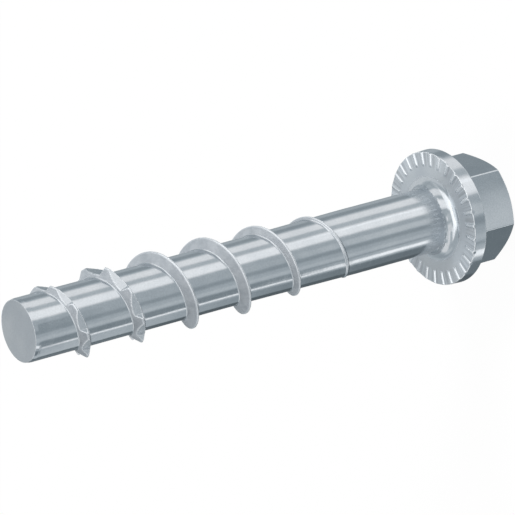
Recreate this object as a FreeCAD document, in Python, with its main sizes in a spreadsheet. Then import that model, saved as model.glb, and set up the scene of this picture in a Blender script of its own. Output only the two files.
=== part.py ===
import FreeCAD, Part
import Sketcher
import math
import os

# Concrete screw with a hexagon flange head, one forged and rolled piece.
# It stands on its head: the origin is the middle of the flat head end, +Z runs
# along the axis to the tip, and two flats of the hexagon face +X and -X.

os.makedirs("parts", exist_ok=True)
doc = FreeCAD.newDocument("concrete_screw")

# Driving dimensions in millimetres, degrees and counts
SIZES = [
    ("length_under_head", 75.0, "bearing ribs to tip"),
    ("core_diameter", 9.5, "rolled core between the turns of the thread"),
    ("shank_diameter", 10.0, "plain shank under the head"),
    ("tip_chamfer_length", 0.7, "along the axis"),
    ("tip_chamfer_depth", 0.12, "off the radius"),
    ("neck_radius", 1.8, "flare from the shank to the flange"),
    ("head_height", 10.2, "head end to the tops of the bearing ribs"),
    ("hex_across_flats", 15.0, "wrench size"),
    ("hex_face_diameter", 14.2, "flat circle on the head end"),
    ("hex_chamfer_angle", 30.0, "from the head end"),
    ("flange_diameter", 21.0, "rim at the bearing side"),
    ("flange_back_diameter", 21.2, "rim at the hexagon side"),
    ("flange_rim_height", 2.4, "rib tops to the back edge of the rim"),
    ("hex_edge_radius", 0.15, "rounding of the six corners"),
    ("flange_back_angle", 8.0, "slope of the back of the flange"),
    ("rim_edge_radius", 0.25, "rounding of the back edge of the rim"),
    ("rim_chamfer_length", 0.12, "front edge of the rim, along the axis"),
    ("rim_chamfer_depth", 0.08, "front edge of the rim, off the radius"),
    ("rib_count", 30, "locking ribs under the flange"),
    ("rib_height", 0.18, "above the face between the ribs"),
    ("rib_rim_width", 0.25, "across the top of a rib at the rim"),
    ("rib_inner_width", 0.12, "across the top of a rib at its inner end"),
    ("rib_flank_angle", 55.0, "flank of a rib, from upright"),
    ("rib_inner_diameter", 16.4, "where the ribs begin"),
    ("rib_end_length", 0.5, "stretch in which a rib rises from the face"),
    ("thread_diameter", 12.7, "over the thread"),
    ("thread_pitch", 9.4, "single start, right hand"),
    ("thread_crest_width", 0.2, "along the axis"),
    ("thread_root_width", 2.1, "along the axis, where the flanks meet the core"),
    ("thread_foot", 0.12, "small flare at the root of each flank"),
    ("tip_to_thread", 4.05, "tip to the start of the thread"),
    ("thread_length", 54.65, "start to end of the thread"),
    ("thread_blunt_start", 0.6, "stretch in which the thread first rises"),
    ("thread_start_height", 0.75, "height of the thread after that stretch"),
    ("thread_lead_in", 6.5, "stretch in which the thread reaches its full height"),
    ("thread_run_out", 20.6, "stretch in which the thread sinks"),
    ("thread_phase", 270.0, "angle of the helix in the plane of the tip"),
    ("teeth_per_turn", 8, "cutting teeth round one turn"),
    ("tooth_count", 15, "facets between the cutting teeth"),
    ("first_tooth_turn", 165.0, "angle from the plane of the tip to the first facet"),
    ("tooth_depth", 0.85, "how far the facet behind a full tooth falls"),
    ("tooth_facet_tilt", 18.0, "lean of the facet to the tip"),
    ("tooth_face_arc", 4.5, "arc over which the face of a tooth rises"),
]

sheet = doc.addObject("Spreadsheet::Sheet", "sizes")
for row, (alias, value, note) in enumerate(SIZES, start=1):
    sheet.set(f"A{row}", note)
    sheet.set(f"B{row}", str(value))
    sheet.setAlias(f"B{row}", alias)
doc.recompute()


def size(alias):
    """The value of one driving dimension."""
    return float(sheet.get(alias))


# Sketch helpers

def origin_feature(body, role):
    """One of the body's own origin planes or axes."""
    return next(f for f in body.Origin.OriginFeatures if f.Role == role)


def new_sketch(body, name, role, lift=None):
    """A sketch on one of the body's own planes, lifted along its normal by an expression."""
    sketch = body.newObject("Sketcher::SketchObject", name)
    sketch.AttachmentSupport = (origin_feature(body, role), "")
    sketch.MapMode = "FlatFace"
    if lift:
        sketch.setExpression("AttachmentOffset.Base.z", lift)
    return sketch


def add_outline(sketch, corners):
    """A closed outline of straight lines. A corner is two expressions, x and y, or None for 0."""
    count = len(corners)
    start = []
    for i in range(count):
        turn = 2 * math.pi * i / count
        start.append(FreeCAD.Vector(20 * math.cos(turn), 20 * math.sin(turn), 0))
    for i in range(count):
        sketch.addGeometry(Part.LineSegment(start[i], start[(i + 1) % count]), False)
    for i in range(count):
        sketch.addConstraint(Sketcher.Constraint("Coincident", i, 2, (i + 1) % count, 1))
    for i, corner in enumerate(corners):
        for kind, axis, value, expression in (
            ("DistanceX", -2, start[i].x, corner[0]),
            ("DistanceY", -1, start[i].y, corner[1]),
        ):
            if expression is None:
                sketch.addConstraint(Sketcher.Constraint("PointOnObject", i, 1, axis))
                continue
            index = sketch.addConstraint(Sketcher.Constraint(kind, -1, 1, i, 1, value))
            sketch.setExpression(f"Constraints[{index}]", expression)


def circle_edge(feature, radius, height):
    """The name of the feature's circular edge with this radius at this height."""
    for number, edge in enumerate(feature.Shape.Edges, start=1):
        curve = edge.Curve
        if not isinstance(curve, Part.Circle):
            continue
        if abs(curve.Radius - radius) < 1e-4 and abs(curve.Center.z - height) < 1e-4:
            return f"Edge{number}"
    raise ValueError(f"no circular edge of radius {radius} at height {height}")


def upright_edges(feature):
    """The names of the feature's straight edges that run along Z."""
    names = []
    for number, edge in enumerate(feature.Shape.Edges, start=1):
        ends = [vertex.Point for vertex in edge.Vertexes]
        if len(ends) == 2 and (ends[1] - ends[0]).cross(FreeCAD.Vector(0, 0, 1)).Length < 1e-6:
            names.append(f"Edge{number}")
    return names


# Blank: hexagon, flange with locking ribs, neck, shank and core

S = "sizes."
TOTAL = f"({S}head_height + {S}length_under_head)"
THREAD_END = f"({TOTAL} - {S}tip_to_thread - {S}thread_length)"
FACE = f"({S}head_height - {S}rib_height)"
RIM_BACK = f"({S}head_height - {S}flange_rim_height)"
RIB_INNER = f"({S}rib_inner_diameter / 2)"

blank = doc.addObject("PartDesign::Body", "blank")

hex_sketch = new_sketch(blank, "hex_outline", "XY_Plane")
half_flat = f"{S}hex_across_flats / 2"
half_side = f"{S}hex_across_flats / 2 * tan(30)"
corner_reach = f"{S}hex_across_flats / 2 / cos(30)"
add_outline(hex_sketch, [
    (half_flat, f"-{half_side}"),
    (half_flat, half_side),
    (None, corner_reach),
    (f"-{half_flat}", half_side),
    (f"-{half_flat}", f"-{half_side}"),
    (None, f"-{corner_reach}"),
])
hexagon = blank.newObject("PartDesign::Pad", "hexagon")
hexagon.Profile = hex_sketch
hexagon.setExpression("Length", RIM_BACK)
doc.recompute()

corners = blank.newObject("PartDesign::Fillet", "hex_corners")
corners.Base = (hexagon, upright_edges(hexagon))
corners.setExpression("Radius", f"{S}hex_edge_radius")

# The back of the flange runs down to a circle well inside the hexagon.
profile = new_sketch(blank, "turned_profile", "XZ_Plane")
hidden_radius = f"({S}hex_across_flats / 2 * 0.8)"
back_fall = f"(({S}flange_back_diameter / 2 - {hidden_radius}) * tan({S}flange_back_angle))"
add_outline(profile, [
    (None, f"{RIM_BACK} - {back_fall}"),
    (hidden_radius, f"{RIM_BACK} - {back_fall}"),
    (f"{S}flange_back_diameter / 2", RIM_BACK),
    (f"{S}flange_diameter / 2", f"{S}head_height - {S}rim_chamfer_length"),
    (f"{S}flange_diameter / 2 - {S}rim_chamfer_depth", f"{S}head_height"),
    (f"{RIB_INNER} + {S}rib_end_length", f"{S}head_height"),
    (RIB_INNER, FACE),
    (f"{S}shank_diameter / 2", FACE),
    (f"{S}shank_diameter / 2", THREAD_END),
    (f"{S}core_diameter / 2", f"{THREAD_END} + {S}thread_run_out"),
    (f"{S}core_diameter / 2", f"{TOTAL} - {S}tip_chamfer_length"),
    (f"{S}core_diameter / 2 - {S}tip_chamfer_depth", TOTAL),
    (None, TOTAL),
])
turned = blank.newObject("PartDesign::Revolution", "turned_blank")
turned.Profile = profile
turned.ReferenceAxis = (profile, ["V_Axis"])
turned.Angle = 360
doc.recompute()

chamfer_sketch = new_sketch(blank, "hex_chamfer_outline", "XZ_Plane")
chamfer_outer = f"{S}hex_across_flats * 0.65"
add_outline(chamfer_sketch, [
    (f"{S}hex_face_diameter / 2", None),
    (chamfer_outer, None),
    (chamfer_outer, f"({chamfer_outer} - {S}hex_face_diameter / 2) * tan({S}hex_chamfer_angle)"),
])
hex_chamfer = blank.newObject("PartDesign::Groove", "hex_chamfer")
hex_chamfer.Profile = chamfer_sketch
hex_chamfer.ReferenceAxis = (chamfer_sketch, ["V_Axis"])
hex_chamfer.Angle = 360
doc.recompute()

# One valley between two ribs, repeated round the flange
valley_sketch = new_sketch(blank, "valley_outline", "XY_Plane", f"{S}head_height")
valley_inner = f"({RIB_INNER} - {S}rib_height * 2)"
valley_outer = f"({S}flange_diameter / 2 + {S}rib_height * 2)"
half_inner = f"({valley_inner} * tan(180 / {S}rib_count) - {S}rib_inner_width / 2)"
half_outer = f"({valley_outer} * tan(180 / {S}rib_count) - {S}rib_rim_width / 2)"
add_outline(valley_sketch, [
    (valley_inner, f"-{half_inner}"),
    (valley_outer, f"-{half_outer}"),
    (valley_outer, half_outer),
    (valley_inner, half_inner),
])
valley = blank.newObject("PartDesign::Pocket", "valley")
valley.Profile = valley_sketch
valley.setExpression("Length", f"{S}rib_height")
valley.setExpression("TaperAngle", f"-{S}rib_flank_angle")
doc.recompute()

ribs = blank.newObject("PartDesign::PolarPattern", "ribs")
ribs.Originals = [valley]
ribs.Axis = (origin_feature(blank, "Z_Axis"), [""])
ribs.Angle = 360
ribs.setExpression("Occurrences", f"{S}rib_count")
blank.Tip = ribs
doc.recompute()

neck = blank.newObject("PartDesign::Fillet", "neck_flare")
face_height = size("head_height") - size("rib_height")
neck.Base = (ribs, [circle_edge(ribs, size("shank_diameter") / 2, face_height)])
neck.setExpression("Radius", f"{S}neck_radius")
blank.Tip = neck
doc.recompute()

rim = blank.newObject("PartDesign::Fillet", "rim_edge")
rim_back = size("head_height") - size("flange_rim_height")
rim.Base = (neck, [circle_edge(neck, size("flange_back_diameter") / 2, rim_back)])
rim.setExpression("Radius", f"{S}rim_edge_radius")
blank.Tip = rim
doc.recompute()


# Thread: one flight whose height swells behind the tip and sinks into the shank.
# A place along it is given by the turn, in degrees from the plane of the tip.

total_length = size("head_height") + size("length_under_head")
pitch = size("thread_pitch")
core_radius = size("core_diameter") / 2
crest_radius = size("thread_diameter") / 2
shank_radius = size("shank_diameter") / 2
full_height = crest_radius - core_radius
flank_slope = (size("thread_root_width") - size("thread_crest_width")) / 2 / full_height
BURIED = 0.05


def turn_at(distance):
    """The turn reached at a distance from the tip."""
    return 360 * distance / pitch


start_turn = turn_at(size("tip_to_thread"))
blunt_turn = turn_at(size("tip_to_thread") + size("thread_blunt_start"))
lead_turn = turn_at(size("tip_to_thread") + size("thread_lead_in"))
sink_turn = turn_at(size("tip_to_thread") + size("thread_length") - size("thread_run_out"))
end_turn = turn_at(size("tip_to_thread") + size("thread_length"))


def crest_at(turn):
    """The radius of the crest at a turn. At both ends it lies just under the surface."""
    low = core_radius - BURIED
    first = core_radius + size("thread_start_height")
    if turn < blunt_turn:
        return low + (first - low) * (turn - start_turn) / (blunt_turn - start_turn)
    if turn < lead_turn:
        left = (lead_turn - turn) / (lead_turn - blunt_turn)
        return crest_radius - (crest_radius - first) * left ** 2
    if turn > sink_turn:
        sunk = shank_radius - BURIED
        return crest_radius + (sunk - crest_radius) * (turn - sink_turn) / (end_turn - sink_turn)
    return crest_radius


def place(turn, radius, shift=0.0):
    """A point at a turn and radius, shifted along the axis towards the head."""
    angle = math.radians(size("thread_phase") - turn)
    height = total_length - pitch * turn / 360 - shift
    return FreeCAD.Vector(radius * math.cos(angle), radius * math.sin(angle), height)


def section():
    """Corners of the flight's section as pairs: shift along the axis, fall below the crest."""
    crest = size("thread_crest_width") / 2
    foot = size("thread_foot")
    knee = full_height - foot * 0.85
    toe = full_height + BURIED
    deep = full_height + 3 * BURIED + foot
    toe_shift = crest + flank_slope * full_height + foot * 1.2
    half = [
        (crest, 0.0),
        (crest + flank_slope * knee, knee),
        (toe_shift, toe),
        (toe_shift, deep),
    ]
    return half + [(-shift, fall) for shift, fall in reversed(half)]


def line_along(corner, first, last):
    """The line that one corner of the section draws between two turns."""
    shift, fall = corner
    steps = max(4, math.ceil((last - first) / 10))
    turns = [first + (last - first) * i / steps for i in range(steps + 1)]
    curve = Part.BSplineCurve()
    points = [place(turn, crest_at(turn) - fall, shift) for turn in turns]
    curve.interpolate(Points=points, Parameters=[math.radians(turn) for turn in turns])
    return curve


def strip_between(a, b):
    """The face swept by a straight line from curve a to curve b."""
    surface = Part.BSplineSurface()
    surface.buildFromPolesMultsKnots(
        [a.getPoles(), b.getPoles()], [2, 2], a.getMultiplicities(),
        [0.0, 1.0], a.getKnots(), False, False, 1, a.Degree
    )
    return surface.toShape()


def end_cap(turn):
    """The flat section that closes the flight at a turn."""
    points = [place(turn, crest_at(turn) - fall, shift) for shift, fall in section()]
    return Part.Face(Part.makePolygon(points + points[:1]))


def thread_flight():
    """The solid flight, from start to end."""
    faces = [end_cap(start_turn), end_cap(end_turn)]
    stages = [start_turn, blunt_turn, lead_turn, sink_turn, end_turn]
    for first, last in zip(stages, stages[1:]):
        lines = [line_along(corner, first, last) for corner in section()]
        for a, b in zip(lines, lines[1:] + lines[:1]):
            faces.append(strip_between(a, b))
    skin = Part.makeCompound(faces)
    skin.sewShape()
    solid = Part.Solid(skin.Shells[0])
    if solid.Volume < 0:
        solid.reverse()
    return solid


flight = doc.addObject("Part::Feature", "thread_flight")
flight.Shape = thread_flight()


# Cutting teeth: behind each tooth a flat facet falls away, up to the face of the next.

tooth_step = 360 / size("teeth_per_turn")


def gash(tooth):
    """The wedge cut away between a tooth and the next one."""
    face_turn = size("first_tooth_turn") + tooth_step * (tooth + 1)
    deepest = face_turn - 0.15 * tooth_step
    height = crest_at(deepest) - core_radius
    floor = crest_at(deepest) - size("tooth_depth") * height / full_height
    foot_arc = math.radians(face_turn - size("tooth_face_arc") - deepest)
    top_arc = math.radians(face_turn - deepest)
    reach = crest_radius + 1.0
    top = crest_at(face_turn)
    x_foot = floor * math.tan(foot_arc)
    x_top = top * math.sin(top_arc)
    y_top = top * math.cos(top_arc)
    lean = (x_top - x_foot) / max(y_top - floor, 0.05)
    outline = [
        (-reach, floor),
        (x_foot, floor),
        (x_foot + lean * (reach - floor), reach),
        (-reach, reach),
    ]
    width = 2 * size("thread_root_width")
    corners = [FreeCAD.Vector(x, y, -width / 2) for x, y in outline]
    wedge = Part.Face(Part.makePolygon(corners + corners[:1])).extrude(FreeCAD.Vector(0, 0, width))
    tilt = FreeCAD.Rotation(FreeCAD.Vector(1, 0, 0), size("tooth_facet_tilt"))
    wedge.Placement = FreeCAD.Placement(
        FreeCAD.Vector(0, 0, 0), tilt, FreeCAD.Vector(0, floor, 0)
    )
    here = place(deepest, 1.0)
    out = FreeCAD.Vector(here.x, here.y, 0)
    along = place(deepest + 1, floor) - place(deepest - 1, floor)
    along = (along - out * along.dot(out)).normalize()
    across = along.cross(out)
    stand = FreeCAD.Matrix(
        along.x, out.x, across.x, 0,
        along.y, out.y, across.y, 0,
        along.z, out.z, across.z, here.z,
        0, 0, 0, 1,
    )
    return wedge.transformed(stand)


gashes = doc.addObject("Part::Feature", "tooth_gashes")
gashes.Shape = Part.makeCompound([gash(i) for i in range(int(size("tooth_count")))])

toothed = doc.addObject("Part::Cut", "toothed_thread")
toothed.Base = flight
toothed.Tool = gashes
doc.recompute()

screw = doc.addObject("Part::Fuse", "screw")
screw.Label = "concrete_screw"
screw.Base = blank
screw.Tool = toothed
screw.Refine = True
doc.recompute()


# Check every object, then write the screw.

for item in doc.Objects:
    if "Invalid" in item.State or "Error" in item.State:
        raise RuntimeError(f"{item.Name} failed: {item.State}")
shape = screw.Shape
if shape.isNull() or not shape.isValid() or len(shape.Solids) != 1:
    raise RuntimeError("the screw is not one valid solid")
print("screw volume", round(shape.Volume, 2), "mm3, faces", len(shape.Faces))
shape.exportStep(f"parts/{screw.Label}.step")
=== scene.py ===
"""Concrete screw: zinc plated steel, hexagon head with a ribbed flange, toothed thread.

The screw stands on the flat end of its head, tip up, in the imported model's frame.
Its sizes are in millimetres until its mesh is made; all the rest is in metres.
Angles are in degrees unless a name says otherwise. A turn is an angle along the thread,
counted from the plane of the tip down toward the head.
"""

import math

import bpy
import numpy as np
from mathutils import Matrix, Vector
from mathutils.geometry import delaunay_2d_cdt


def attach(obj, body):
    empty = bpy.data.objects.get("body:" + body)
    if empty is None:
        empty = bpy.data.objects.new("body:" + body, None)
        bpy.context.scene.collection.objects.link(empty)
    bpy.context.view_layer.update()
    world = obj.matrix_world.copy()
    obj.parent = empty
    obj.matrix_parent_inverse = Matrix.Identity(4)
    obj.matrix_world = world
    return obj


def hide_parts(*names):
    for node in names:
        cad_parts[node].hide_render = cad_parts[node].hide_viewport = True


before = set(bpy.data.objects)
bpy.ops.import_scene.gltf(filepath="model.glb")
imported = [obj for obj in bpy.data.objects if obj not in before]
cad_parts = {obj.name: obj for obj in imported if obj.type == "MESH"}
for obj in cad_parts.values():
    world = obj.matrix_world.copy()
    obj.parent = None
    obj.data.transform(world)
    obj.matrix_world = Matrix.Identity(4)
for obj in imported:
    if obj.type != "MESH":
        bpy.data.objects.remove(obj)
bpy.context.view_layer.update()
scene = bpy.context.scene


# ---------------------------------------------------------------- sizes, in millimetres
# Heights: the ribs' tops, the tip, and the stretch over which the core widens to the shank.
HEAD, TOTAL = 10.2, 85.2
WIDEN_LOW, WIDEN_HIGH = 26.5, 47.1
# Radii of the plain shank and of the thread's core.
SHANK, CORE = 5.0, 4.75
# The thread: its pitch, the angle of its start, the crest's radius and half its width, and
# how far a flank runs along the axis for each millimetre outward.
PITCH, PHASE = 9.4, 270.0
CREST, CREST_HALF, FLANK = 6.35, 0.1, 0.59375
FULL = CREST - CORE
# The turns at which the flight starts, is past its blunt start, is at full height, begins to
# sink, and ends.
START, BLUNT, LEAD, SINK, END = (360 * s / PITCH for s in (4.05, 4.65, 10.55, 38.1, 58.7))
LAPS = 7
# The flight's height past its blunt start, and how far its two ends lie under the skin.
BLUNT_RISE, SUNK = 0.75, 0.05
# The cut teeth: the turn of each one's steep face, the turns that the face takes, how far
# before the face the cut is deepest, its depth on a full flight, and how it leans to the tip.
TOOTH_STEP = 45.0
TOOTH_FACES = [165.0 + TOOTH_STEP * (tooth + 1) for tooth in range(15)]
TOOTH_FACE, TOOTH_FLOOR = 4.5, 0.15 * TOOTH_STEP
TOOTH_DEPTH, TOOTH_TILT = 0.85, math.radians(18)
CUT_REACH, NO_WALL = 50, 9.0
# How far the skin is rounded off: the crest, the foot and edges of a cut, and the root,
# between a low flight and a full one.
CREST_ROUND, CUT_FOOT_ROUND, CUT_EDGE_ROUND = 0.07, 0.05, 0.04
ROOT_ROUND = (0.04, 0.13)

# The head: the bearing face's height, the neck's radius, and the rim with its slight draft.
FACE, NECK = 10.02, 1.8
RIM, RIM_HEIGHT, RIM_DRAFT = 10.5, 10.08, 0.096 / 2.28
RIM_EDGE, RIM_ROUND, SCALLOP = 10.42, 0.12, 0.08
# The ribs on the bearing face: how many, the first one's angle, height, inner end, half the
# top's width at both ends, slope of the sides, and length of the ramp at the inner end.
RIBS, RIB_FIRST, RIB = 30, 6.0, 0.18
RIB_STEP = 360.0 / RIBS
RIB_INNER, RIB_HALF = 8.2, (0.06, 0.125)
RIB_SIDE, RIB_RAMP = math.tan(math.radians(55)), 0.5
# The flange's back edge and the slope of its back.
BACK_EDGE, BACK_ROUND, BACK_SWEEP, BACK_SLOPE = 8.05, 0.25, 82, math.radians(8)
# The hexagon: half its width across flats, the rounding of its corners, the fillet at the
# flange, and the flat end inside the chamfer.
HEX_HALF, HEX_ROUND, HEX_FOOT = 7.5, 0.16, 0.17
HEAD_FLAT, CHAMFER = 7.1, math.tan(math.radians(30))
# The heights between which the skin carries the thread, and the tip's outline down to there.
LOW_RING, HIGH_RING = 12.2, 84.2
TIP = ((2.3, 85.2), (4.45, 85.2), (4.57, 85.197), (4.61, 85.185), (4.635, 85.155),
       (4.645, 85.10), (4.71, 84.75), (4.742, 84.56), (4.75, 84.46), (4.75, HIGH_RING))


def soft_min(a, b, reach):
    """The smaller of two heights, with the corner between them rounded off."""
    gap = np.maximum(reach - np.abs(a - b), 0.0)
    return np.minimum(a, b) - gap * gap / (4 * reach)


def soft_max(a, b, reach):
    """The larger of two heights, with the corner between them rounded off."""
    return -soft_min(-a, -b, reach)


def portion(value, start, span):
    """0 up to start, 1 from start plus span on, and evenly between."""
    return np.clip((value - start) / span, 0, 1)


# ---------------------------------------------------------------- the threaded skin
def core_at(z):
    """Radius of the plain skin at a height."""
    return np.interp(z, [WIDEN_LOW, WIDEN_HIGH], [SHANK, CORE])


def crest_at(turn):
    """Radius of the thread's crest at a turn."""
    turn = np.asarray(turn, float)
    low, first = CORE - SUNK, CORE + BLUNT_RISE
    rise = low + (first - low) * (turn - START) / (BLUNT - START)
    swell = CREST - (CREST - first) * ((LEAD - turn) / (LEAD - BLUNT)) ** 2
    sink = CREST + (SHANK - SUNK - CREST) * (turn - SINK) / (END - SINK)
    level = np.where(turn < BLUNT, rise, np.where(turn < LEAD, swell, CREST))
    return np.where(turn > SINK, sink, level)


def height_at(turn):
    """Height of the middle of the flight at a turn."""
    return TOTAL - PITCH * turn / 360


def tooth_cuts():
    """Each tooth's deepest turn, its floor radius and its face, as the facets are cut."""
    cuts = []
    for face in TOOTH_FACES:
        deep = face - TOOTH_FLOOR
        crest = float(crest_at(deep))
        floor = crest - TOOTH_DEPTH * (crest - CORE) / FULL
        foot_arc, top_arc = math.radians(face - TOOTH_FACE - deep), math.radians(face - deep)
        top = float(crest_at(face))
        x_foot = floor * math.tan(foot_arc)
        across = max(top * math.cos(top_arc) - floor, 0.05)
        lean = (top * math.sin(top_arc) - x_foot) / across
        climb = math.atan2(PITCH, 2 * math.pi * floor)
        cuts.append((deep, floor, x_foot, lean, climb))
    return cuts


CUTS = tooth_cuts()


def cut_flight(turn, z):
    """Radius of the flight with its teeth cut, and how far the cuts go below the plain flight."""
    across = np.abs(height_at(turn) - z)
    crest = crest_at(turn)
    plain = flight = soft_min(crest, crest - (across - CREST_HALF) / FLANK, CREST_ROUND)
    tilt_s, tilt_c = math.sin(TOOTH_TILT), math.cos(TOOTH_TILT)
    for deep, floor, x_foot, lean, climb in CUTS:
        near = np.abs(turn - deep) < CUT_REACH
        if not near.any():
            continue
        swing = np.radians(np.where(near, turn - deep, 0.0))
        rise = z - height_at(deep)
        along, up = math.sin(climb), math.cos(climb)
        spread = np.cos(swing) * tilt_c + along * np.sin(swing) * tilt_s
        level = floor * tilt_c - up * rise * tilt_s
        facet = level / spread
        below = up * np.sin(swing) - lean * spread
        wall = (x_foot + along * rise - lean * level) / np.minimum(below, -1e-4)
        wall = np.where(below < -1e-3, np.minimum(wall, NO_WALL), NO_WALL)
        cut = soft_max(facet, wall, CUT_FOOT_ROUND)
        flight = np.where(near, soft_min(flight, cut, CUT_EDGE_ROUND), flight)
    return flight, plain - flight


def thread_radius(turn, z):
    """Radius of the skin at a turn and a height, near the turn's own pass of the thread."""
    crest, core = crest_at(turn), core_at(z)
    reach = np.clip(ROOT_ROUND[0] + 0.8 * (crest - core + SUNK), *ROOT_ROUND)
    return soft_max(core, cut_flight(turn, z)[0], reach)


def skin_marks(turn, z, radius):
    """How worn (with a painted highlight), how matt and how darkened by painted shade the threaded
    skin is, from how far it stands out or lies back.
    """
    reach, swing = 0.11, 1.1
    bulge = radius - 0.5 * (thread_radius(turn, z + reach) + thread_radius(turn, z - reach))
    ridge = radius - 0.5 * (thread_radius(turn + swing, z) + thread_radius(turn - swing, z))
    flight, depth = cut_flight(turn, z)
    cut = portion(depth, 0, 0.05)
    # Wear, with its painted highlight, and the matt skin fade out before the flight sinks away; cut
    # teeth are brighter.
    fade = portion(END - 110 - turn, 0, 160)
    edge = portion(np.maximum(bulge, ridge) - 0.006 * cut, 0.025, 0.045)
    worn = edge * (0.76 + 0.14 * cut) * fade
    matt = portion(flight - core_at(z), 0.07, 0.06) * (1 - 0.88 * cut) * fade
    # Painted shade darkens the groove on the head's side of the flight, over its last turn.
    groove = portion(-bulge, 0.006, 0.02) * (z < height_at(turn))
    grime = groove * portion(turn, END - 340, 70)
    return worn, matt, grime


def thread_rows(turn):
    """Shifts from the middle of the flight, one row of points each, root to root."""
    rise = max(float(crest_at(turn) - core_at(height_at(turn))), 0.0)
    root = CREST_HALF + FLANK * rise
    shoulder = 0.15
    half = [0.0, 0.045, 0.085, 0.115, shoulder]
    flank = root - 0.09 - shoulder
    half += [shoulder + flank * t for t in (0.12, 0.24, 0.36, 0.48, 0.61, 0.74, 0.87, 1.0)]
    half += [root + s for s in (-0.05, -0.015, 0.02, 0.06, 0.11, 0.18)] + [root + 0.5]
    for i in range(1, len(half)):
        half[i] = max(half[i], half[i - 1] + 0.012)
    return [-s for s in reversed(half[1:])] + half


def thread_turns():
    """The turns at which the flight has a column of points, finer at the teeth."""
    fine_end = 870.0
    fine = np.arange(156.25, fine_end, 1.25)
    plain = np.arange(fine_end, END - 1.5, 3.0)
    turns = {START, END, *fine.tolist(), *plain.tolist()}
    for face in TOOTH_FACES:
        for edge in (face, face - TOOTH_FACE):
            turns.update((edge - 0.5, edge + 0.5))
    return sorted(turns)


TURNS = thread_turns()
EDGES = [thread_rows(t)[-1] for t in TURNS]


def passes(angle, slack=0.0):
    """The turns at which the flight, or slack degrees beyond its ends, passes an angle."""
    for lap in range(LAPS):
        turn = (PHASE - angle) % 360 + 360 * lap
        if START - slack < turn < END + slack:
            yield turn


def near_thread(angle, z):
    """Whether a point of the plain skin lies on the flight or too close to it."""
    slack, margin = 4, 0.10
    for turn in passes(angle, slack):
        edge = thread_rows(min(max(turn, START), END))[-1]
        if abs(height_at(turn) - z) < edge + margin:
            return True
    return False


def on_flight(angle, z):
    """Whether a point lies between the edge rows, which are straight between their points."""
    for turn in passes(angle):
        if abs(height_at(turn) - z) < float(np.interp(turn, TURNS, EDGES)):
            return True
    return False


def outward(angle):
    """Unit vectors out from the axis, at angles in radians."""
    return np.stack([np.cos(angle), np.sin(angle), np.zeros_like(angle)], 1)


def lifted(out, radius, heights):
    """Points at a radius and a height each, along unit vectors out from the axis."""
    return out * radius[:, None] + np.stack([0 * heights, 0 * heights, heights], 1)


class Skin:
    """Points with normals and marks, and the faces between them."""

    def __init__(self):
        self.points, self.normals, self.faces = [], [], []
        self.marks = {"worn": [], "matt": [], "grime": []}

    def add(self, points, normals, **marks):
        """New points, with the marks that are given and none of the others; their numbers."""
        first = len(self.points)
        self.points.extend(points)
        self.normals.extend(normals)
        for name, values in self.marks.items():
            values.extend(marks.get(name, [0.0] * len(points)))
        return list(range(first, first + len(points)))

    def add_turned(self, turns, heights):
        """Points of the threaded skin, each at its own turn and height."""
        turns, heights = np.asarray(turns, float), np.asarray(heights, float)
        step_turn, step_z = 0.05, 0.004
        radius = thread_radius(turns, heights)
        by_turn = thread_radius(turns + step_turn, heights)
        by_turn = by_turn - thread_radius(turns - step_turn, heights)
        by_turn = by_turn / (2 * math.radians(step_turn)) / radius
        by_z = thread_radius(turns, heights + step_z) - thread_radius(turns, heights - step_z)
        by_z = by_z / (2 * step_z)
        angle = np.radians(PHASE - turns)
        out = outward(angle)
        side = np.stack([-np.sin(angle), np.cos(angle), np.zeros_like(angle)], 1)
        normals = out + by_turn[:, None] * side - by_z[:, None] * np.array([0, 0, 1.0])
        normals /= np.linalg.norm(normals, axis=1)[:, None]
        points = lifted(out, radius, heights)
        worn, matt, grime = (mark.tolist() for mark in skin_marks(turns, heights, radius))
        return self.add(points.tolist(), normals.tolist(), worn=worn, matt=matt, grime=grime)

    def add_round(self, angles, heights):
        """Points of the plain skin between the passes of the thread."""
        heights = np.asarray(heights, float)
        out = outward(np.radians(np.asarray(angles, float)))
        return self.add(lifted(out, core_at(heights), heights).tolist(), out.tolist())

    def join(self, upper, lower):
        """Faces between two rings with as many points each."""
        for i in range(len(upper)):
            j = (i + 1) % len(upper)
            self.faces.append((upper[i], lower[i], lower[j], upper[j]))

    def close(self, ring, height, up):
        """A fan of faces from a ring to the axis."""
        middle = self.add([[0.0, 0.0, height]], [[0.0, 0.0, 1.0 if up else -1.0]])[0]
        for i in range(len(ring)):
            j = (i + 1) % len(ring)
            self.faces.append((ring[i], ring[j], middle) if up else (ring[j], ring[i], middle))


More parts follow.
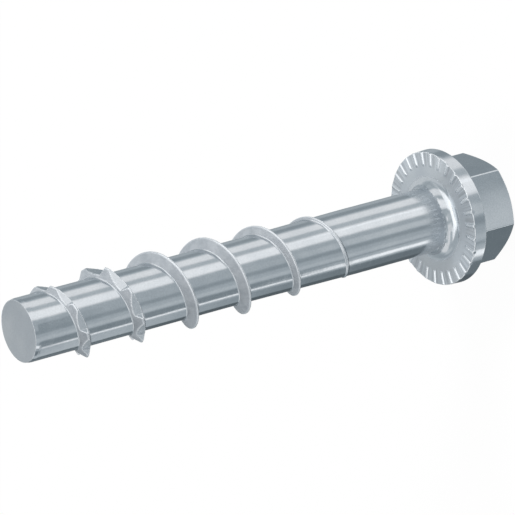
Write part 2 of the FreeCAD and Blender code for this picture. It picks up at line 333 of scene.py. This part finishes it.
class Unrolled:
    """The plain skin laid flat: x runs round the screw, from 0 to 360 degrees, y is height."""

    SCALE = math.pi * SHANK / 180

    def __init__(self):
        self.flat, self.owner, self.edges, self.seam = [], [], [], []

    def put(self, angle, z, point):
        self.flat.append((angle * self.SCALE, z))
        self.owner.append(point)
        return len(self.flat) - 1

    def chain(self, items):
        """Edges from each item to the next, which the fill has to keep."""
        self.edges.extend(zip(items, items[1:]))

    def chain_row(self, row):
        """A row of (turn, height, point) along the flight, cut where it meets the seam."""
        piece = []
        for turn, z, point in row:
            angle = (PHASE - turn) % 360
            if 1e-6 <= angle <= 360 - 1e-6:
                piece.append(self.put(angle, z, point))
                continue
            piece.append(self.put(0.0, z, point))
            self.chain(piece)
            self.seam.append((z, point))
            piece = [self.put(360.0, z, point)]
        self.chain(piece)

    def chain_ring(self, angles, z, ring):
        """A whole ring, whose first point lies on the seam."""
        row = [self.put(a, z, point) for a, point in zip(angles, ring)]
        self.chain(row + [self.put(360.0, z, ring[0])])
        self.seam.append((z, ring[0]))

    def chain_seam(self):
        """The two sides of the cut at 0 degrees, from the lowest point to the highest."""
        self.seam.sort()
        index = {}
        for i, ((x, z), point) in enumerate(zip(self.flat, self.owner)):
            index.setdefault((point, x > 180 * self.SCALE), i)
        for far in (False, True):
            self.chain([index[(point, far)] for z, point in self.seam])

    def faces(self):
        """Triangles that fill the plain skin, as points of the skin."""
        made = delaunay_2d_cdt([Vector(p) for p in self.flat], self.edges, [], 0, 1e-7, True)
        verts, faces, origin = made[0], made[2], made[3]
        if any(not o for o in origin):
            raise RuntimeError("the fill made a point of its own")
        for face in faces:
            x = sum(verts[i][0] for i in face) / len(face) / self.SCALE
            z = sum(verts[i][1] for i in face) / len(face)
            if not on_flight(x, z):
                yield tuple(self.owner[origin[i][0]] for i in face)


def add_flight(skin):
    """The flight as columns of points, root to root, joined: (turn, height, point) each."""
    skew = -2.45
    turns, heights = [], []
    for turn in TURNS:
        rows = thread_rows(turn)
        for k, shift in enumerate(rows):
            fixed = k in (0, len(rows) - 1) or turn in (TURNS[0], TURNS[-1])
            leaned = turn + (0.0 if fixed else skew * shift)
            turns.append(leaned)
            heights.append(height_at(leaned) - shift)
    width = len(rows)
    points = list(zip(turns, heights, skin.add_turned(turns, heights)))
    columns = [points[i * width:(i + 1) * width] for i in range(len(TURNS))]
    for a, b in zip(columns, columns[1:]):
        for k in range(width - 1):
            skin.faces.append((a[k][2], b[k][2], b[k + 1][2], a[k + 1][2]))
    return columns


def add_thread(skin, low_angles, low_ring, high_angles, high_ring):
    """The flight, and the plain skin between its passes and out to the two rings."""
    columns = add_flight(skin)
    plain = Unrolled()
    for row in (0, -1):
        plain.chain_row([column[row] for column in columns])
    for column in (columns[0], columns[-1]):
        plain.chain([plain.put((PHASE - turn) % 360, z, point) for turn, z, point in column])
    plain.chain_ring(low_angles, LOW_RING, low_ring)
    plain.chain_ring(high_angles, HIGH_RING, high_ring)
    step, count = 3.0, 62
    for n, z in enumerate(np.linspace(LOW_RING, HIGH_RING, count)[1:-1]):
        angles = np.arange(0, 360, step) + (step / 2 if n % 2 else 0)
        free = [a for a in angles if not near_thread(a, z)]
        if n % 2 and not near_thread(0.0, z):
            free = [0.0] + [a for a in free if a == 0.0 or 1.0 < a < 359.0]
        for a, point in zip(free, skin.add_round(free, [z] * len(free))):
            plain.put(a, z, point)
            if a == 0.0:
                plain.put(360.0, z, point)
                plain.seam.append((z, point))
    plain.chain_seam()
    skin.faces.extend(plain.faces())


# ---------------------------------------------------------------- the head and the tip
def head_angles():
    """Angles of the columns round the head: close at the ribs' edges and the hexagon's corners."""
    sides = (0.4, 0.6, 0.85, 1.2, 1.7, 2.0, 2.25, 2.7, 4.2)
    offsets = (-RIB_STEP / 2, 0, *sides, *(-off for off in sides))
    found = [(RIB_FIRST + RIB_STEP * k + off) % 360 for k in range(RIBS) for off in offsets]
    found += [30 + 60 * k + off for k in range(6) for off in (-0.9, -0.2, 0.2, 0.9)]
    return sorted({round(a, 4) for a in found})


def rib_top(radius, angle):
    """Height of the bearing face, with its ribs, at a radius and an angle."""
    near = (angle - RIB_FIRST + RIB_STEP / 2) % RIB_STEP - RIB_STEP / 2
    off = np.radians(near) * radius
    half = np.interp(radius, [RIB_INNER, RIM], RIB_HALF)
    flank = (half + RIB * RIB_SIDE - np.abs(off)) / RIB_SIDE
    ramp = (radius - RIB_INNER) * RIB / RIB_RAMP
    rib = soft_min(soft_min(flank, np.full_like(flank, RIB), 0.03), ramp + 0 * flank, 0.05)
    return FACE + soft_max(rib, 0 * rib, 0.03)


def hexagon(angle):
    """Distance of the hexagon's side from the axis, its corners rounded."""
    near = np.radians((angle + 30) % 60 - 30)
    other = math.radians(60) - np.abs(near)
    return soft_min(HEX_HALF / np.cos(near), HEX_HALF / np.cos(other), HEX_ROUND)


def rim_at(z):
    """Radius of the flange's rim at a height."""
    return RIM + (RIM_HEIGHT - z) * RIM_DRAFT


def flange_rings(angle):
    """The neck, the ribbed face, the rim and its back edge, and where that edge ends."""
    one = np.ones_like(angle)
    rings = []
    for t in np.linspace(0, 90, 17)[1:]:
        a = math.radians(t)
        radius, z = SHANK + NECK - NECK * math.cos(a), FACE + NECK - NECK * math.sin(a)
        rings.append((radius * one, z * one))
    for r in (7.1, 7.5, 7.9, 8.1, 8.2, 8.27, 8.35, 8.45, 8.55, 8.63, 8.7, 8.77, 8.9, 9.4, 9.9,
              10.25):
        rings.append((r * one, rib_top(r * one, angle)))
    top = rib_top(RIM_EDGE * one, angle)
    rim = np.minimum(rim_at(top), RIM_EDGE + (HEAD - top) * (SCALLOP / RIM_ROUND))
    for inward, down in ((RIM_ROUND, 0.0), (0.074, 0.008), (0.035, 0.035), (0.008, 0.074),
                         (0.0, RIM_ROUND)):
        rings.append((rim - inward, top - down))
    for z in (9.85, 9.5, 8.8, 8.25):
        rings.append((rim_at(z) * one, z * one))
    middle = rim_at(BACK_EDGE) - BACK_ROUND
    for t in np.linspace(0, BACK_SWEEP, 7):
        a = math.radians(t)
        edge = middle + BACK_ROUND * math.cos(a), BACK_EDGE - BACK_ROUND * math.sin(a)
        rings.append((edge[0] * one, edge[1] * one))
    return rings, edge


def head_rings(angle):
    """The head's outline from the neck to the head end, as (radius, height) round all angles."""
    one = np.ones_like(angle)
    rings, (edge_r, edge_z) = flange_rings(angle)

    def back(radius):
        return edge_z - (edge_r - radius) * math.tan(BACK_SLOPE)

    side = hexagon(angle)
    for r in (10.0, 9.3):
        rings.append((r * one, back(r) * one))
    for out, down in ((0.30, 0.0), (0.15, 0.0), (0.075, 0.012), (0.03, 0.05), (0.008, 0.10),
                      (0.0, HEX_FOOT)):
        rings.append((side + out, back(side + out) - down))
    foot = (side - HEAD_FLAT) * CHAMFER
    start = back(side) - HEX_FOOT
    for t in (0.12, 0.5, 0.88):
        rings.append((side, start + (foot + 0.1 - start) * t))
    for inward, up in ((0.0, 0.10), (0.008, 0.04), (0.035, -0.012), (0.09, -0.05)):
        rings.append((side - inward, foot + up))
    for t in (0.3, 0.65):
        r = side - 0.09 + (7.16 - side + 0.09) * t
        rings.append((r, (r - HEAD_FLAT) * CHAMFER))
    for r, z in ((7.16, 0.036), (7.12, 0.014), (7.07, 0.003), (7.0, 0.0), (6.7, 0.0), (3.5, 0.0)):
        rings.append((r * one, z * one))
    return rings


def bow_sides(points, normals, angle):
    """The hexagon's forged sides are a little full: their normals open out to the corners."""
    near = (angle + 30) % 60 - 30
    swing = np.radians(2.5 * near / 30 * np.clip((30 - np.abs(near)) / 2, 0, 1))
    swing = swing * ((np.abs(normals[..., 2]) < 0.1) & (points[..., 2] < 7.6))
    x, y = normals[..., 0].copy(), normals[..., 1].copy()
    normals[..., 0] = x * np.cos(swing) - y * np.sin(swing)
    normals[..., 1] = x * np.sin(swing) + y * np.cos(swing)


def ring_points(rings, angle):
    """Points and normals of a stack of rings: shape (ring, column, 3)."""
    a = np.radians(angle)
    points = np.stack([np.stack([r * np.cos(a), r * np.sin(a), z], 1) for r, z in rings])
    down = np.empty_like(points)
    down[1:-1] = points[2:] - points[:-2]
    down[0], down[-1] = points[1] - points[0], points[-1] - points[-2]
    along = np.roll(points, -1, 1) - np.roll(points, 1, 1)
    normals = np.cross(down, along)
    normals /= np.linalg.norm(normals, axis=2)[..., None]
    bow_sides(points, normals, angle)
    return points, normals


def edge_wear_and_highlight(points):
    """How worn each point of a stack of rings is: 1 on an edge that stands out, 0 on a flat. The
    pale wear also paints a highlight along these edges.
    """
    worn = np.zeros(points.shape[:2])
    down = np.roll(points, -1, 0) - np.roll(points, 1, 0)
    along = np.roll(points, -1, 1) - np.roll(points, 1, 1)
    normals = np.cross(down, along)
    normals /= np.linalg.norm(normals, axis=2)[..., None] + 1e-12
    for axis in (0, 1):
        before = np.roll(points, 1, axis) - points
        after = np.roll(points, -1, axis) - points
        la = np.linalg.norm(before, axis=2) + 1e-9
        lb = np.linalg.norm(after, axis=2) + 1e-9
        bend = -((before / la[..., None] + after / lb[..., None]) * normals).sum(2)
        bend = bend / np.minimum(la + lb, 0.6)
        worn = np.maximum(worn, portion(bend, 1.2, 3.0))
    worn[0] = worn[-1] = 0
    return worn


def add_head(skin, ring, angle):
    """The neck, flange and hexagon, as rings below one that is there already."""
    one = np.ones_like(angle)
    start = [(SHANK * one, LOW_RING * one), (SHANK * one, (FACE + NECK) * one)]
    points, normals = ring_points(start + head_rings(angle), angle)
    x, y, z = points[..., 0], points[..., 1], points[..., 2]
    # The flange's edges are worn more than the hexagon's, and the ribs' tops are pale: this
    # paleness is wear and also a painted highlight.
    worn = edge_wear_and_highlight(points) * np.where(z < 7.7, 0.5, 0.85)
    worn = np.maximum(worn, 0.5 * portion(z - FACE, 0.10, 0.06) * (np.hypot(x, y) > 8))
    for p, n, w in zip(points[1:], normals[1:], worn[1:]):
        lower = skin.add(p.tolist(), n.tolist(), worn=w.tolist())
        skin.join(ring, lower)
        ring = lower
    skin.close(ring, 0.0, False)


def add_tip(skin, ring, angle):
    """The tip, as rings from its flat end down to one that is there already."""
    one = np.ones_like(angle)
    points, normals = ring_points([(r * one, z * one) for r, z in TIP], angle)
    worn = 0.25 * edge_wear_and_highlight(points)
    upper = None
    for p, n, w in zip(points[:-1], normals[:-1], worn[:-1]):
        lower = skin.add(p.tolist(), n.tolist(), worn=w.tolist())
        if upper is None:
            skin.close(lower, TOTAL, True)
        else:
            skin.join(upper, lower)
        upper = lower
    skin.join(upper, ring)


def make_screw():
    """The whole screw as one closed mesh, in metres, with its own normals and marks."""
    skin = Skin()
    low_angles, high_angles = np.array(head_angles()), np.arange(0.0, 360.0, 2.0)
    low_ring = skin.add_round(low_angles, np.full(len(low_angles), LOW_RING))
    high_ring = skin.add_round(high_angles, np.full(len(high_angles), HIGH_RING))
    add_thread(skin, low_angles, low_ring, high_angles, high_ring)
    add_head(skin, low_ring, low_angles)
    add_tip(skin, high_ring, high_angles)
    mesh = bpy.data.meshes.new("screw")
    mesh.from_pydata([[c * 0.001 for c in p] for p in skin.points], [], skin.faces)
    mesh.polygons.foreach_set("use_smooth", [True] * len(mesh.polygons))
    mesh.normals_split_custom_set_from_vertices(skin.normals)
    for name, values in skin.marks.items():
        mesh.attributes.new(name, "FLOAT", "POINT").data.foreach_set("value", values)
    mesh.update()
    return bpy.data.objects.new("screw", mesh)


# ---------------------------------------------------------------- helpers for Blender
def add_object(name, data):
    """A new object in the scene's own collection."""
    made = bpy.data.objects.new(name, data)
    scene.collection.objects.link(made)
    return made


class Nodes:
    """Short calls that add shader nodes to a tree and link them."""

    def __init__(self, tree):
        self.tree = tree
        tree.nodes.clear()

    def add(self, kind, inputs=(), **settings):
        """A new node, its inputs given by name or number as values or as sockets to link."""
        node = self.tree.nodes.new("ShaderNode" + kind)
        for name, value in settings.items():
            setattr(node, name, value)
        for key, value in dict(inputs).items():
            if isinstance(value, bpy.types.NodeSocket):
                self.tree.links.new(value, node.inputs[key])
            else:
                node.inputs[key].default_value = value
        return node

    def math(self, operation, a, b=0.0, c=0.0):
        return self.add("Math", {0: a, 1: b, 2: c}, operation=operation).outputs[0]

    def multiply(self, a, b):
        return self.math("MULTIPLY", a, b)

    def largest(self, first, *others):
        for other in others:
            first = self.math("MAXIMUM", first, other)
        return first

    def length(self, x, y):
        return self.math("SQRT", self.math("ADD", self.multiply(x, x), self.multiply(y, y)))

    def vector(self, operation, inputs):
        return self.add("VectorMath", inputs, operation=operation).outputs[0]

    def ramp(self, value, low, high, to_low=0.0, to_high=1.0, smooth=True):
        """The value carried from low..high to to_low..to_high, and held level outside them."""
        node = self.add(
            "MapRange",
            {"Value": value, "From Min": low, "From Max": high,
             "To Min": to_low, "To Max": to_high},
            interpolation_type="SMOOTHSTEP" if smooth else "LINEAR",
        )
        return node.outputs["Result"]

    def mix(self, share, a, b):
        return self.add("Mix", {0: share, 2: a, 3: b}, data_type="FLOAT").outputs[0]

    def mix_colour(self, share, a, b):
        return self.add("Mix", {0: share, 6: a, 7: b}, data_type="RGBA").outputs[2]

    def mix_shader(self, share, a, b):
        return self.add("MixShader", {0: share, 1: a, 2: b}).outputs[0]

    def emit(self, kind, colour, strength):
        """A Background or Emission of a colour and a strength."""
        return self.add(kind, {"Color": colour, "Strength": strength}).outputs[0]


def new_material(name):
    material = bpy.data.materials.new(name)
    material.use_nodes = True
    return material, Nodes(material.node_tree)


# ---------------------------------------------------------------- studio
WHITE = (1, 1, 1, 1)
# Soft screens and light strips that stand around the screw, as the metal shows them:
# (middle azimuth, width, lowest elevation, highest elevation, level, softness sideways,
# softness upward). A level of 1 is the white of the backdrop. A later row covers an earlier one.
BASE_LEVEL = 0.56
SCREENS = (
    # low down, which the upright sides reflect
    (116, 22, -90, 5, 0.40, 9, 8),
    (123, 16, -90, -40.5, 0.37, 8, 3),
    (83, 29, -90, 46, 1.04, 12, 10),
    (60, 14, -90, 0, 0.63, 6, 10),
    (35.5, 31, -90, 46, 1.17, 10, 10),
    (44, 5, -90, -34.5, 1.36, 3, 5),
    (7, 12, -90, 0, 0.56, 6, 10),
    (8, 12, -90, -40.5, 0.46, 8, 3),
    (353, 20, -90, -34.5, 0.72, 8, 5),
    (346, 34, -21.2, -14, 0.39, 8, 2.5),
    (336, 14, -90, 0, 0.41, 10, 10),
    (309, 12, -90, 0, 0.66, 8, 10),
    (288, 24, -90, -13, 0.33, 8, 4),
    (290, 14, -90, -34.5, 0.62, 8, 5),
    (279, 12, -90, -34.5, 1.38, 5, 5),
    (274, 6.5, -36, -19, 1.26, 4, 6),
    (246, 38, -90, -13, 0.65, 9, 4),
    (243, 44, -90, -30, 0.235, 8, 20),
    (258, 22, -17.5, -8, 0.24, 8, 3),
    (285, 10, -16, -6, 1.25, 4, 3),
    (210, 37, -90, -12, 0.145, 7, 6),
    (208, 30, -25.5, -12, 0.23, 8, 5),
    (183, 18, -90, 5, 0.05, 8, 10),
    (166, 9, -90, 0, 0.53, 6, 10),
    (154, 16, -90, 0, 0.42, 8, 10),
    (138, 16, -90, 0, 0.52, 8, 10),
    # higher up, which the neck, the faces and the teeth reflect
    (53, 12, -7, 6, 1.20, 6, 5),
    (120, 30, 37, 50, 0.72, 10, 8),
    (157, 36, 0, 54, 0.78, 10, 10),
    (126, 14, 5, 30, 0.54, 8, 10),
    (113, 14, -5, 24, 0.62, 8, 8),
    (348, 26, 22, 60, 0.70, 10, 10),
    (346, 14, 9, 22, 1.05, 8, 6),
    (312, 30, 9, 50, 0.93, 12, 8),
    (290, 30, -3, 16, 0.84, 10, 6),
    (280, 50, 14, 30, 1.03, 10, 8),
    (275, 40, 33, 50, 0.65, 10, 10),
    (245, 40, -11, 28, 0.95, 10, 8),
    (207, 18, -10, 40, 0.47, 8, 10),
    (186, 24, 20, 50, 0.62, 8, 10),
    (222, 18, 24, 44, 0.70, 8, 8),
    (236, 14, -14, 0, 0.82, 8, 6),
    (60, 90, 45, 90, 1.38, 16, 8),
    (280, 52, 46, 90, 1.25, 12, 8),
    (15, 210, 61, 90, 1.50, 20, 8),
    (0, 361, 70, 90, 1.60, 1, 8),
)
# The wall that carries the low screens, and the height from which directions are counted.
WALL_RADIUS, WALL_LOW, WALL_HIGH, EYE = 0.2, -0.32, -0.002, 0.045
# The tint of a dark and of a bright part of the studio, and the plain world's level.
DARK_TINT, BRIGHT_TINT = (0.84, 1.0, 1.095, 1), (1.005, 1.0, 1.0, 1)
WORLD_LEVEL = 0.50
FLOOR_SIDE, FLOOR_WHITE = 3.0, 0.96


def studio_level(n, azimuth, elevation):
    """How bright the studio is in a direction."""
    level = BASE_LEVEL
    for middle, width, low, high, value, soft, rise in SCREENS:
        off = n.math("SUBTRACT", azimuth, float(middle))
        off = n.math("WRAP", off, 180.0, -180.0)
        off = n.math("ABSOLUTE", off)
        share = n.ramp(off, width / 2 - soft / 2, width / 2 + soft / 2, 1.0, 0.0)
        if low > -90:
            share = n.multiply(share, n.ramp(elevation, low - rise / 2, low + rise / 2))
        if high < 90:
            cover = n.ramp(elevation, high - rise / 2, high + rise / 2, 1.0, 0.0)
            share = n.multiply(share, cover)
        level = n.mix(share, level, float(value))
    return level


def studio_colour(n, direction):
    """The colour of the studio in a direction: darker gaps are a little bluer."""
    x, y, z = n.add("SeparateXYZ", {0: direction}).outputs
    azimuth = n.multiply(n.math("ARCTAN2", y, x), 180 / math.pi)
    elevation = n.multiply(n.math("ARCTAN2", z, n.length(x, y)), 180 / math.pi)
    level = studio_level(n, azimuth, elevation)
    tint = n.mix_colour(n.ramp(level, 0.15, 0.95, smooth=False), DARK_TINT, BRIGHT_TINT)
    return n.vector("SCALE", {0: tint, "Scale": level})


def make_world():
    """White for the camera, the screens for the metal, and a plain level for all else."""
    world = bpy.data.worlds.new("studio")
    scene.world = world
    world.use_nodes = True
    n = Nodes(world.node_tree)
    shown = studio_colour(n, n.add("TexCoord").outputs["Generated"])
    path = n.add("LightPath").outputs
    screens = n.emit("Background", shown, 1.0)
    white = n.emit("Background", WHITE, 1.0)
    plain = n.emit("Background", WHITE, WORLD_LEVEL)
    mirrored = n.largest(path["Is Glossy Ray"], path["Is Transmission Ray"])
    light = n.mix_shader(mirrored, plain, screens)
    n.add("OutputWorld", {0: n.mix_shader(path["Is Camera Ray"], light, white)})


def make_wall():
    """A round wall near the screw that carries the low screens, seen only in the metal."""
    steps = 96
    turns = [2 * math.pi * i / steps for i in range(steps)]
    ring = [(WALL_RADIUS * math.cos(a), WALL_RADIUS * math.sin(a)) for a in turns]
    points = [(x, y, z) for z in (WALL_LOW, WALL_HIGH) for x, y in ring]
    after = [(i + 1) % steps for i in range(steps)]
    mesh = bpy.data.meshes.new("screens")
    mesh.from_pydata(points, [], [(i, j, steps + j, steps + i) for i, j in enumerate(after)])
    wall = add_object("screens", mesh)
    wall.visible_camera = wall.visible_diffuse = wall.visible_transmission = False
    wall.visible_shadow = wall.visible_volume_scatter = False
    material, n = new_material("screens")
    material.cycles.emission_sampling = "NONE"
    place = n.add("TexCoord").outputs["Object"]
    way = n.vector("SUBTRACT", {0: place, 1: (0.0, 0.0, EYE)})
    n.add("OutputMaterial", {0: n.emit("Emission", studio_colour(n, way), 1.0)})
    mesh.materials.append(material)


def make_floor():
    """A plain floor that shows as white, and keeps a faint shadow."""
    mesh = bpy.data.meshes.new("floor")
    corners = [(FLOOR_SIDE * x, FLOOR_SIDE * y, 0) for x, y in ((-1, -1), (1, -1), (1, 1), (-1, 1))]
    mesh.from_pydata(corners, [], [(0, 1, 2, 3)])
    floor = add_object("floor", mesh)
    floor.visible_glossy = False
    material, n = new_material("floor_white")
    path = n.add("LightPath").outputs
    paint = n.add("BsdfDiffuse", {"Color": (FLOOR_WHITE, FLOOR_WHITE, FLOOR_WHITE, 1)}).outputs[0]
    white = n.emit("Emission", WHITE, 1.0)
    kinds = ("Is Camera Ray", "Is Glossy Ray", "Is Transmission Ray")
    share = n.multiply(n.largest(*(path[kind] for kind in kinds)), FLOOR_WHITE)
    n.add("OutputMaterial", {0: n.mix_shader(share, paint, white)})
    mesh.materials.append(material)


def make_lamp(azimuth, elevation, distance, size, level):
    """A round soft lamp: level is what it adds to a white surface that faces it."""
    data = bpy.data.lights.new("soft_lamp", "AREA")
    data.shape = "DISK"
    data.size = size
    data.energy = level * math.pi * math.pi * distance * distance
    lamp = add_object("soft_lamp", data)
    lamp.visible_glossy = False
    a, e = math.radians(azimuth), math.radians(elevation)
    way = Vector((math.cos(a) * math.cos(e), math.sin(a) * math.cos(e), math.sin(e)))
    lamp.location = Vector((0, 0, EYE)) + way * distance
    lamp.rotation_euler = way.to_track_quat("Z", "Y").to_euler()


def make_camera():
    """The photograph's view, as fitted to the outlines of the head, shank and tip."""
    data = bpy.data.cameras.new("camera")
    data.sensor_width = 36.0
    data.lens = 251.8
    data.clip_start, data.clip_end = 0.01, 20.0
    camera = add_object("camera", data)
    forward = Vector((-0.8413857, 0.0354311, -0.5392724)).normalized()
    up = Vector((0.1812903, 0.9585345, -0.2198760))
    right = forward.cross(up).normalized()
    turn = Matrix((right, right.cross(forward), -forward)).transposed().to_4x4()
    turn.translation = Vector((0.4521280, -0.0177766, 0.3325404))
    camera.matrix_world = turn
    scene.camera = camera


# ---------------------------------------------------------------- metal
# Each pair is the darker and the lighter tone of one kind of skin.
BRIGHT_ZINC = ((0.58, 0.618, 0.652, 1), (0.625, 0.66, 0.690, 1))
DULL_ZINC = ((0.393, 0.428, 0.463, 1), (0.464, 0.498, 0.531, 1))
FACE_ZINC = ((0.444, 0.488, 0.528, 1), (0.507, 0.548, 0.580, 1))
# Pale wear that also paints a highlight on edges, painted shade for the last groove, and black that
# paints shade on the tip's flat end.
WEAR_HIGHLIGHT, GROOVE_SHADE, TIP_SHADE = (0.85, 0.885, 0.92, 1), (0.10, 0.115, 0.125, 1), (0.0, 0.0, 0.0, 1)


def noise(n, where, scale, detail, rough=0.55):
    inputs = {"Vector": where, "Scale": scale, "Detail": detail, "Roughness": rough}
    return n.add("TexNoise", inputs).outputs["Fac"]


def mark(n, name):
    """One of the marks that the screw's points carry."""
    return n.add("Attribute", attribute_name=name).outputs["Fac"]


def bearing_face(n, radius, z):
    """1 on the flange's bearing face between the ribs, and 0 elsewhere."""
    rise = n.multiply(n.ramp(radius, 0.0064, 0.0070), n.ramp(z, 0.00990, 0.01000))
    return n.multiply(rise, n.ramp(z, 0.01003, 0.01008, 1.0, 0.0))


def zinc_colour(n, place, radius, face, tip, matt, worn):
    """The plating's colour: cloudy where bright, patchy where dull, pale along worn edges as wear
    and a painted highlight, with painted shade on the tip's flat end and in the last groove.
    """
    cloud = n.ramp(noise(n, place, 260.0, 3.0), 0.35, 0.68)
    patch = n.ramp(noise(n, place, 700.0, 3.0), 0.35, 0.65)
    bloom = n.ramp(noise(n, place, 170.0, 1.0), 0.32, 0.68)
    flat = n.mix_colour(bloom, *FACE_ZINC)
    dull = n.mix_colour(n.largest(face, tip), n.mix_colour(patch, *DULL_ZINC), flat)
    # Painted shade: the tip's flat end is darkened by about a fifth, as it takes more of the light
    # than the rest.
    dull = n.mix_colour(n.multiply(tip, 0.215), dull, TIP_SHADE)
    colour = n.mix_colour(matt, n.mix_colour(cloud, *BRIGHT_ZINC), dull)
    # Worn edges turn pale: wear, and a painted highlight along the edges.
    colour = n.mix_colour(worn, colour, WEAR_HIGHLIGHT)
    # Painted shade: the groove on the head's side of the last turn is darkened.
    colour = n.mix_colour(n.multiply(mark(n, "grime"), 0.8), colour, GROOVE_SHADE)
    # Fine specks all over, and streaks outward from the axis on the rim side of the face.
    speck = n.ramp(noise(n, place, 4300.0, 1.0), 0.25, 0.75, 0.955, 1.045, smooth=False)
    spoke = n.vector("NORMALIZE", {0: n.vector("MULTIPLY", {0: place, 1: (1.0, 1.0, 0.0)})})
    streak = n.ramp(noise(n, spoke, 18.0, 2.0, 0.6), 0.35, 0.65, 0.80, 1.16, smooth=False)
    outer = n.multiply(face, n.ramp(radius, 0.0079, 0.0086))
    return n.vector("SCALE", {0: colour, "Scale": n.multiply(speck, n.mix(outer, 1.0, streak))})


def make_zinc():
    """Zinc plating: bright where it was rolled, matt on flanks and faces, worn along edges, where
    the pale wear also paints a highlight.
    """
    material, n = new_material("zinc_steel")
    place = n.add("TexCoord").outputs["Object"]
    x, y, z = n.add("SeparateXYZ", {0: place}).outputs
    radius = n.length(x, y)
    worn = mark(n, "worn")
    face, tip = bearing_face(n, radius, z), n.ramp(z, 0.08517, 0.08519)
    matt = n.multiply(n.largest(face, tip, mark(n, "matt")), n.math("SUBTRACT", 1.0, worn))
    neck = n.ramp(z, 0.0118, 0.0130, 1.0, 0.0)
    near_head = n.multiply(n.ramp(z, 0.0135, 0.0155, 1.0, 0.0), n.ramp(z, 0.0119, 0.0126))

    # Rolling marks run round the shank, grain is all over, and waves are broad and shallow.
    rolled = n.vector("MULTIPLY", {0: place, 1: (0.06, 0.06, 2.2)})
    marks = n.mix(neck, noise(n, rolled, 900.0, 3.0), 0.5)
    grain = noise(n, place, 3200.0, 2.0)
    wave = noise(n, n.vector("MULTIPLY", {0: place, 1: (1.0, 1.0, 0.7)}), 420.0, 1.0)

    rough = n.ramp(grain, 0.30, 0.70, 0.09, 0.14)
    rough = n.math("ADD", rough, n.ramp(marks, 0.45, 0.75, 0.0, 0.05))
    rough = n.mix(near_head, rough, 0.24)
    rough = n.mix(matt, rough, n.ramp(grain, 0.30, 0.70, 0.42, 0.50))
    rough = n.mix(worn, rough, 0.25)
    chalky = n.largest(n.multiply(matt, 0.65), n.multiply(worn, 0.6))
    height = n.math("ADD", n.multiply(marks, 0.5), n.multiply(grain, 0.15))
    fine = n.add("Bump", {"Strength": 0.12, "Distance": 0.00004, "Height": height}).outputs[0]
    broad = n.add("Bump", {"Strength": 0.27, "Distance": 0.00005, "Height": wave, "Normal": fine})
    metal = n.add(
        "BsdfPrincipled",
        {
            "Base Color": zinc_colour(n, place, radius, face, tip, matt, worn),
            "Metallic": n.math("SUBTRACT", 1.0, chalky),
            "Roughness": rough,
            "Normal": broad.outputs[0],
        },
    )
    n.add("OutputMaterial", {0: metal.outputs[0]})
    return material


make_camera()
make_world()
make_wall()
make_floor()
make_lamp(azimuth=61, elevation=38, distance=0.8, size=0.28, level=0.60)
make_lamp(azimuth=188, elevation=38, distance=0.8, size=0.28, level=0.34)

zinc = make_zinc()
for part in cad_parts["concrete_screw"].material_slots:
    part.material = zinc
screw = make_screw()
scene.collection.objects.link(screw)
screw.data.materials.append(zinc)
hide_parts("concrete_screw")
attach(screw, "root")

scene.view_settings.view_transform = "Standard"
